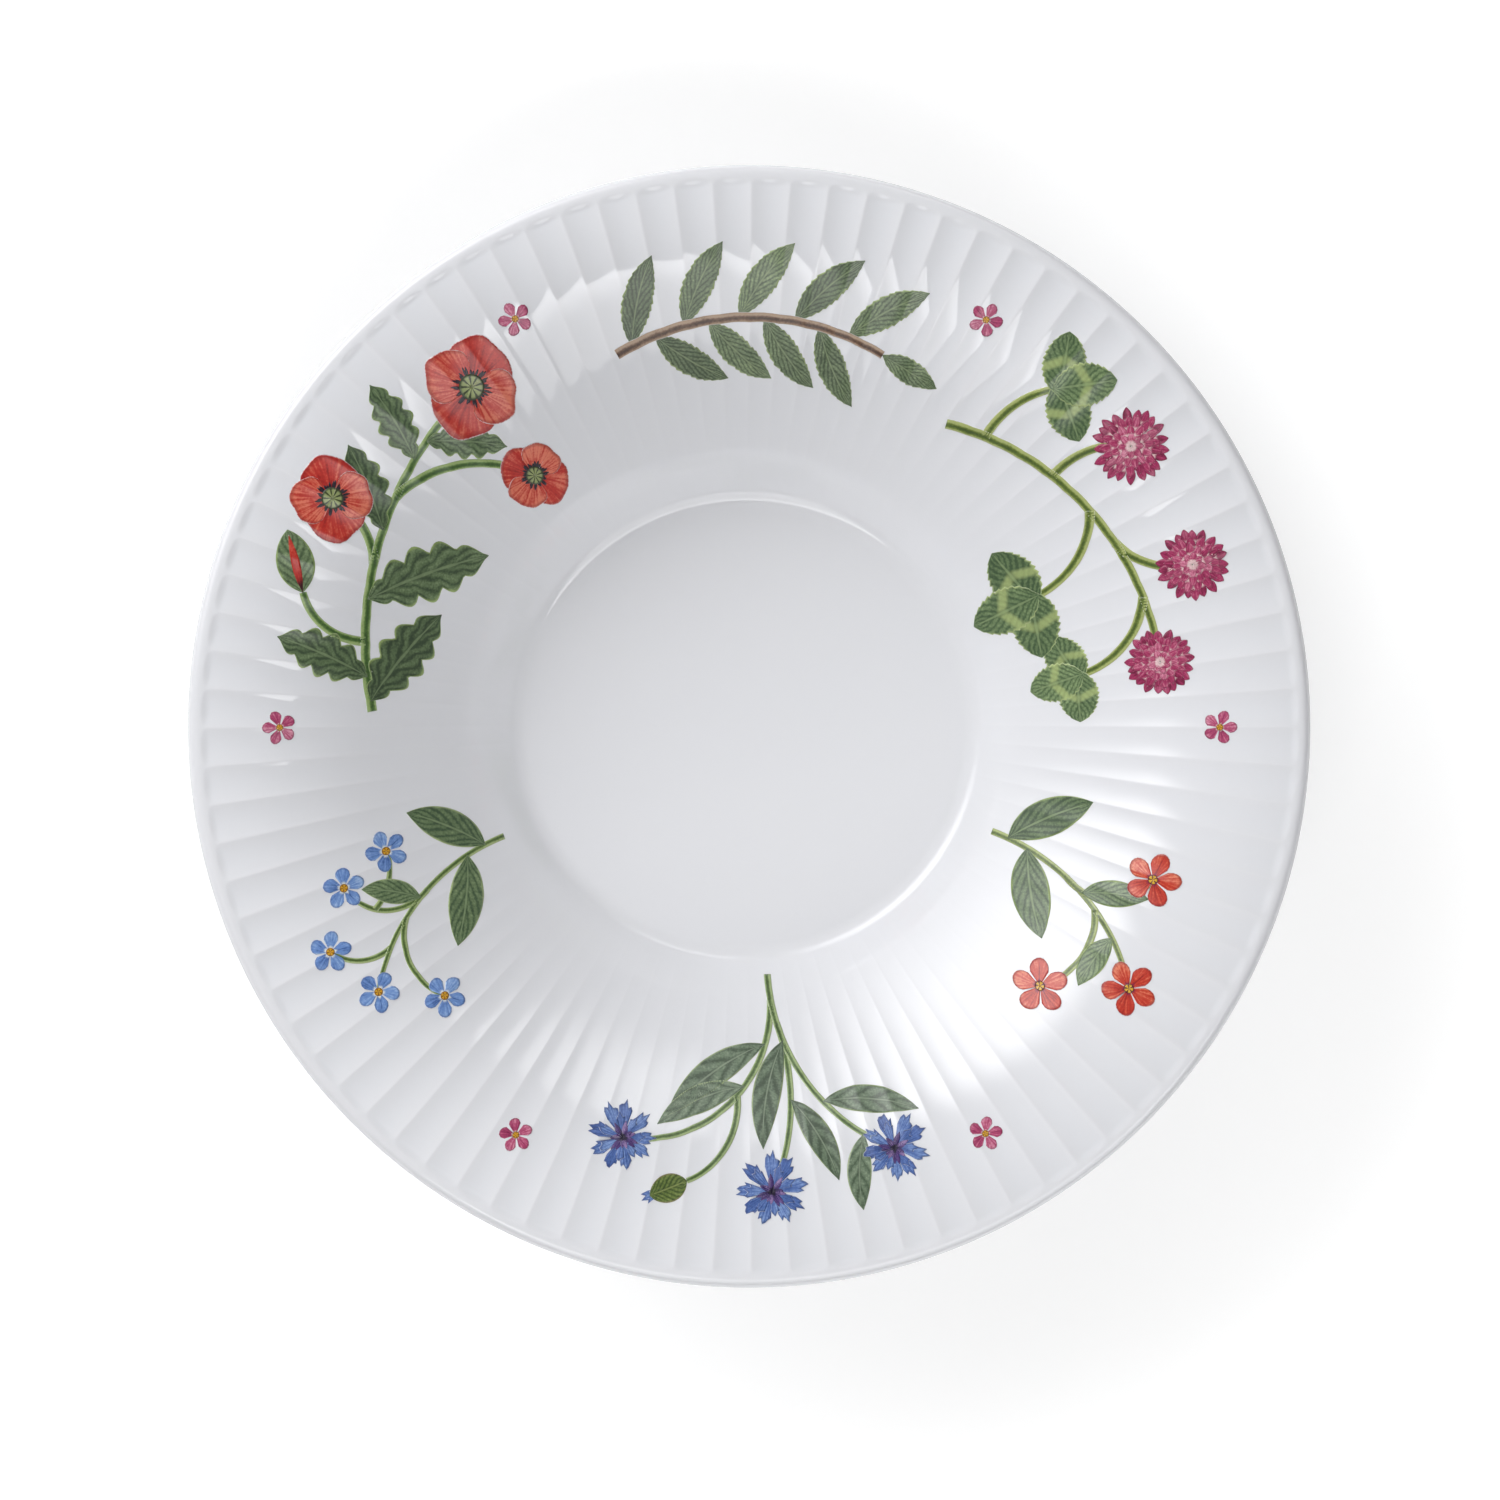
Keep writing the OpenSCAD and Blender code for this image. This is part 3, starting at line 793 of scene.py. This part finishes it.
# The number of florets in each ring of a head, where they start and end, their width and their layer.
CLOVER_RINGS = ((21, 0.50, 0.97, 1.75, 3), (17, 0.34, 0.78, 1.7, 4),
                (13, 0.18, 0.58, 1.6, 5), (8, 0.02, 0.36, 1.5, 6))
TREFOIL_LEANS = (-74, 77, 3)
TREFOIL_OVERLAP = 0.12


def draw_clover(film, centre, d, turn):
    """A round clover head: rings of slender florets, each ring over the one outside it."""
    reach = d / 2
    for ring, (count, near, far, width, layer) in enumerate(CLOVER_RINGS):
        for k in range(count):
            angle = math.radians(turn + 360.0 * (k + 0.5 * ring) / count + 4.0 * math.sin(5.0 * k))
            base = out_from(centre, angle, near * reach)
            long = reach * (far - near) * (0.95 + 0.08 * math.sin(3.0 * k + ring))
            draw_leaf(film, base, angle, long, width, clover_floret, layer=layer,
                      tone=0.15 + 0.14 * ring + 0.3 * ((5 * k) % 7) / 7.0)


def draw_trefoil(film, stem, length, width, tone):
    """A leaf of three leaflets at the end of a stem."""
    end, heading = place_on(stem, 1)
    for k, lean in enumerate(TREFOIL_LEANS):
        angle = heading + math.radians(lean)
        base = out_from(end, angle, -TREFOIL_OVERLAP * length)
        draw_leaf(film, base, angle, length, width, clover_leaf, layer=1 + k, tone=tone + 0.1 * k, teeth=11)


clovers = Transfer("clover_spray", 30.0)
main = [(-31, -15), (28, -3), 9]
first = [joint(main, 0.35), (-10, 12), 2]
second = [joint(main, 0.62), (15, 11), -2]
high = [joint(main, 0.12), (-26, 6), 2]
low = [joint(main, 0.5), (6, -17), 3]
far = [joint(main, 0.8), (23, -17), 3]
for stem in (low, far, high, second, first, main):
    draw_stem(clovers, stem, clover_stem)
draw_trefoil(clovers, high, 12, 8.5, 0.45)
draw_trefoil(clovers, low, 13, 9, 0.35)
draw_trefoil(clovers, far, 10, 7.5, 0.55)
draw_clover(clovers, main[1], 13, 15)
draw_clover(clovers, first[1], 15, 40)
draw_clover(clovers, second[1], 14, 80)
clovers.fire()


# Willow twig
# A film of one bowed brown twig with slim toothed leaves in two rows and one at its tip.
# It is printed, laid on and fired like the sprays, and lies across the plate from the cornflowers.

willow_leaf = leaf_paint("willow_leaf_green", "#424f3b", "#697a5b", "#9cae82", "#b7c788", 9.0, 3.2)
willow_bark = stem_paint("willow_bark_brown", "#4a3428", "#7c5f4b", "#b39a83")

willow = Transfer("willow_twig", 90.0)
twig = [(-25, -6), (25, -6), 7]
for i in range(5):
    leaf_on(willow, twig, 0.06 + 0.2 * i, 50, 17, 6, willow_leaf, tone=0.3 + 0.11 * ((2 * i) % 5),
            curl=-0.35, teeth=12)
for i in range(4):
    leaf_on(willow, twig, 0.15 + 0.2 * i, -50, 16, 5.6, willow_leaf, tone=0.4 + 0.1 * ((3 * i) % 4),
            curl=0.35, teeth=12)
leaf_on(willow, twig, 1, 0, 12, 4.6, willow_leaf, tone=0.6, teeth=9)
draw_stem(willow, twig, willow_bark, layer=3, width=1.9)
willow.fire()


# Forget-me-not sprig
# A film of small sky-blue flowers with five round petals, a white star and a yellow eye, on a forked stem.
# It is a smaller print than the sprays, laid on and fired in the same way between two of them.

forget_leaf = leaf_paint("forget_me_not_leaf_green", "#42563f", "#6a7f5a", "#9aaf81", "#b8c988", 6.0, 2.4)
forget_stem = stem_paint("forget_me_not_stem_green", "#4a6134", "#718a4c", "#a9b97f")
forget_petal = petal_paint("forget_me_not_blue", "#3d5a9a", "#6f93cf", "#aac6ea", "#eef0ea", 0.36, 5.0)
yellow_eye = heart_paint("yellow_eye", "#d9a32c", "#8a5a1c", 5)

BLOSSOM_PETALS = 5


def draw_blossom(film, centre, d, turn, petal, eye, eye_share, layer):
    """Five round petals that lap each other round a small eye."""
    for k in range(BLOSSOM_PETALS):
        angle = math.radians(turn + 360.0 / BLOSSOM_PETALS * k + 18.0)
        lap = layer + k % 2 + (k == BLOSSOM_PETALS - 1)
        tone = 0.3 + 0.09 * ((3 * k) % BLOSSOM_PETALS)
        draw_fan(film, centre, angle, 0.49 * d, 0.66, petal, lap, tone,
                 edge=0.34, ripple=((4.0, 0.03, k),), start=0.06)
    draw_disc(film, centre, eye_share * d, eye, layer + 3, 0.5)


forget_me_nots = Transfer("forget_me_not_sprig", 210.0)
main = [(5, -25), (-8, 9), -5]
right = [joint(main, 0.45), (12, 5), 4]
left = [joint(main, 0.62), (-15, -1), -3]
top = [joint(main, 0.78), (3, 13), 2]
side = [joint(right, 0.6), (14, -5), -1.5]
for stem in (side, top, left, right, main):
    draw_stem(forget_me_nots, stem, forget_stem, width=1.2)
for k, (t, lean, length, width) in enumerate((
        (0.1, -50, 16, 6.5), (0.2, 52, 17, 6.5), (0.5, -60, 11, 4.6))):
    leaf_on(forget_me_nots, main, t, lean, length, width, forget_leaf, tone=0.4 + 0.12 * k,
            curl=math.copysign(0.3, -lean))
for k, stem in enumerate((main, right, left, top, side)):
    draw_blossom(forget_me_nots, stem[1], 8, 31.0 * k, forget_petal, yellow_eye, 0.10, 3)
forget_me_nots.fire()


# Pimpernel sprig
# A film of three scarlet flowers with crimson hearts and yellow eyes, over pointed leaves.
# It is a print of about the size of the forget-me-nots, laid on and fired in the same way.

pimpernel_leaf = leaf_paint("pimpernel_leaf_green", "#3d5039", "#637854", "#96ab7a", "#b3c67f", 6.0, 2.6)
pimpernel_stem = stem_paint("pimpernel_stem_green", "#4d5f33", "#768a48", "#acb77a")
pimpernel_petal = petal_paint("pimpernel_red", "#8e1f22", "#c8402f", "#e88d6d", "#7d1b45", 0.30, 6.0)
pimpernel_eye = heart_paint("pimpernel_eye", "#e0b23a", "#5b1530", 5)

pimpernels = Transfer("pimpernel_sprig", 330.0)
main = [(-6, -25), (7, 10), 5]
left = [joint(main, 0.4), (-13, 4), -4]
right = [joint(main, 0.6), (15, -4), 3]
for stem in (right, left, main):
    draw_stem(pimpernels, stem, pimpernel_stem, width=1.3)
for k, (t, lean, length, width) in enumerate((
        (0.08, 50, 17, 7), (0.18, -52, 17, 7), (0.5, 46, 12, 5), (0.75, -60, 11, 4.6))):
    leaf_on(pimpernels, main, t, lean, length, width, pimpernel_leaf, tone=0.36 + 0.12 * k,
            curl=math.copysign(0.3, -lean))
for k, stem in enumerate((main, left, right)):
    draw_blossom(pimpernels, stem[1], 10.5, 24.0 * k, pimpernel_petal, pimpernel_eye, 0.09, 3)
pimpernels.fire()


# Loose blossoms
# Six small pink flowers, each its own scrap of printed film.
# They are laid on one by one between the sprays, near the lip, and fired with the rest.

loose_petal = petal_paint("loose_blossom_pink", "#7c2549", "#b44a72", "#e2a0b4", "#e9d3cf", 0.30, 5.0)

LOOSE_COUNT = 6
LOOSE_D = 6.5
LOOSE_PLACE = (0.0, 12.0)
loose = Transfer("loose_blossoms", 0.0)
for k in range(LOOSE_COUNT):
    loose.azimuth = 360.0 / LOOSE_COUNT * k
    draw_blossom(loose, LOOSE_PLACE, LOOSE_D, 0.0, loose_petal, yellow_eye, 0.10, 1)
loose.fire()


# Studio
# A white floor that keeps a soft shadow. A large softbox stands to the upper left of the picture, one with
# hard edges below, a small one above and a weak one overhead. The camera looks down, a little off the axis.

FLOOR_SIZE = 8.0
FLOOR_DROP = 0.02
FLOOR_WHITE = (0.80, 0.80, 0.80, 1.0)
GLOW_BY_PLATE = 0.38
GLOW_FULL_AT = 0.40


def add_panel(name, width, height):
    """A flat sheet for the studio."""
    mesh = bpy.data.meshes.new(name)
    corners = ((-1, -1), (1, -1), (1, 1), (-1, 1))
    mesh.from_pydata([(x * width / 2, y * height / 2, 0.0) for x, y in corners], [], [(0, 1, 2, 3)])
    panel = bpy.data.objects.new(name, mesh)
    bpy.context.collection.objects.link(panel)
    return panel


floor = add_panel("floor", FLOOR_SIZE, FLOOR_SIZE)
floor.location.z = -FLOOR_DROP * MM

# To the camera and in reflections the floor glows as well as taking the shadow, more so away from the plate.
white = Finish("white_floor")
ray = white.tree.nodes.new("ShaderNodeLightPath").outputs
seen = white.math("MAXIMUM", ray["Is Glossy Ray"], ray["Is Transmission Ray"])
seen = white.math("MAXIMUM", ray["Is Camera Ray"], seen)
away = white.tree.nodes.new("ShaderNodeVectorMath")
away.operation = "LENGTH"
white.feed(away.inputs[0], white.place)
level = white.tree.nodes.new("ShaderNodeMapRange")
white.feed(level.inputs["Value"], away.outputs["Value"])
level.inputs["From Min"].default_value = PLATE_R * MM
level.inputs["From Max"].default_value = GLOW_FULL_AT
level.inputs["To Min"].default_value = GLOW_BY_PLATE
glow = white.tree.nodes.new("ShaderNodeEmission")
white.feed(glow.inputs["Strength"], level.outputs[0])
plain = white.tree.nodes.new("ShaderNodeBsdfDiffuse")
plain.inputs["Color"].default_value = FLOOR_WHITE
shown = white.tree.nodes.new("ShaderNodeAddShader")
white.feed(shown.inputs[0], plain.outputs[0])
white.feed(shown.inputs[1], glow.outputs[0])
either = white.tree.nodes.new("ShaderNodeMixShader")
white.feed(either.inputs[0], seen)
white.feed(either.inputs[1], plain.outputs[0])
white.feed(either.inputs[2], shown.outputs[0])
white.feed(white.tree.nodes["Material Output"].inputs["Surface"], either.outputs[0])
floor.data.materials.append(white.material)

RISE_FROM = 0.15
RISE_TO = 0.45


def add_softbox(name, azimuth, zenith, distance, size, strength, soft, upper=0.0):
    """A glowing panel aimed at the plate. It fades out by its edges and may glow more by its upper one."""
    panel = add_panel(name, *size)
    around = math.radians(azimuth)
    down = math.radians(zenith)
    panel.location = (distance * math.sin(down) * math.cos(around),
                      distance * math.sin(down) * math.sin(around), distance * math.cos(down))
    panel.rotation_euler = (down, 0.0, around + math.pi / 2)
    panel.visible_camera = False
    cloth = Finish(name + "_cloth")
    where = cloth.tree.nodes.new("ShaderNodeSeparateXYZ")
    cloth.feed(where.inputs[0], cloth.place)
    rise = cloth.ease(where.outputs[1], RISE_FROM * size[1], RISE_TO * size[1])
    level = cloth.math("ADD", 1.0, cloth.math("MULTIPLY", rise, upper))
    for place, length in zip(where.outputs, size):
        inset = cloth.math("SUBTRACT", length / 2, cloth.math("ABSOLUTE", place))
        level = cloth.math("MULTIPLY", level, cloth.ease(inset, 0.0, soft * length / 2))
    light = cloth.tree.nodes.new("ShaderNodeEmission")
    cloth.feed(light.inputs["Strength"], cloth.math("MULTIPLY", level, strength))
    cloth.feed(cloth.tree.nodes["Material Output"].inputs["Surface"], light.outputs[0])
    panel.data.materials.append(cloth.material)


add_softbox("key_softbox", 135.5, 60.0, 1.2, size=(2.0, 1.07), strength=6.4, soft=0.9)
add_softbox("fill_softbox", 283.1, 44.5, 1.0, size=(1.05, 0.76), strength=2.23, soft=0.05, upper=1.2)
add_softbox("low_softbox", 72.8, 61.8, 1.2, size=(0.9, 0.5), strength=2.6, soft=0.6)
add_softbox("top_softbox", 0.0, 0.0, 1.3, size=(1.5, 1.5), strength=0.2, soft=0.6)

AIR_LEVEL = 0.11
world = bpy.data.worlds.new("studio_air")
bpy.context.scene.world = world
world.use_nodes = True
air = world.node_tree
air_ray = air.nodes.new("ShaderNodeLightPath")
air_level = air.nodes.new("ShaderNodeMapRange")
air_level.inputs["To Min"].default_value = AIR_LEVEL
air.links.new(air_ray.outputs["Is Camera Ray"], air_level.inputs["Value"])
air.nodes["Background"].inputs["Color"].default_value = (1.0, 1.0, 1.0, 1.0)
air.links.new(air_level.outputs[0], air.nodes["Background"].inputs["Strength"])

LENS = 120.0
SENSOR_W = 36.0
STAND_OFF = 934.6
LOOK_AT = (-0.20, -4.21)
CAMERA_ASIDE = (-28.1, 16.0)
camera_data = bpy.data.cameras.new("camera")
camera_data.lens = LENS
camera_data.sensor_width = SENSOR_W
camera = bpy.data.objects.new("camera", camera_data)
bpy.context.collection.objects.link(camera)
camera.location = ((LOOK_AT[0] + CAMERA_ASIDE[0]) * MM, (LOOK_AT[1] + CAMERA_ASIDE[1]) * MM,
                   (lip_z + STAND_OFF) * MM)
camera.rotation_euler = (-math.atan(CAMERA_ASIDE[1] / STAND_OFF), math.atan(CAMERA_ASIDE[0] / STAND_OFF), 0)
bpy.context.scene.camera = camera
bpy.context.scene.view_settings.view_transform = "Standard"
